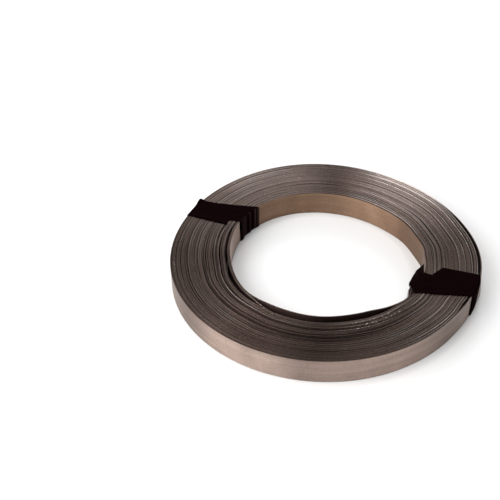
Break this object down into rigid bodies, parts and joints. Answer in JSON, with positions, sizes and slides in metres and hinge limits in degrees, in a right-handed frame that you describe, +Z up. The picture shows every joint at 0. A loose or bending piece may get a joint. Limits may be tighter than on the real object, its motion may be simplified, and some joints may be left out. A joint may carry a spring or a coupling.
{
  "type": "coil of steel banding",
  "caption": "Coil of flat steel banding strap wound tight round an open bore, lying flat and held together by black tape ties.",
  "frame": {"origin": "on the bore axis, at the floor that the coil lies on", "axes": "+Z up along the bore axis; +X to the right as seen from the front, where the right tie lies"},
  "size_m": [0.2204, 0.2204, 0.0196],
  "materials": {
    "strap_steel": "satin mill finish, warm grey, darker on the slit edges",
    "tie_tape": "matte black cloth tape"
  },
  "bodies": {
    "root": {"strap_coil": "strap_steel", "tie_left": "tie_tape", "tie_right": "tie_tape"}
  },
  "joints": []
}
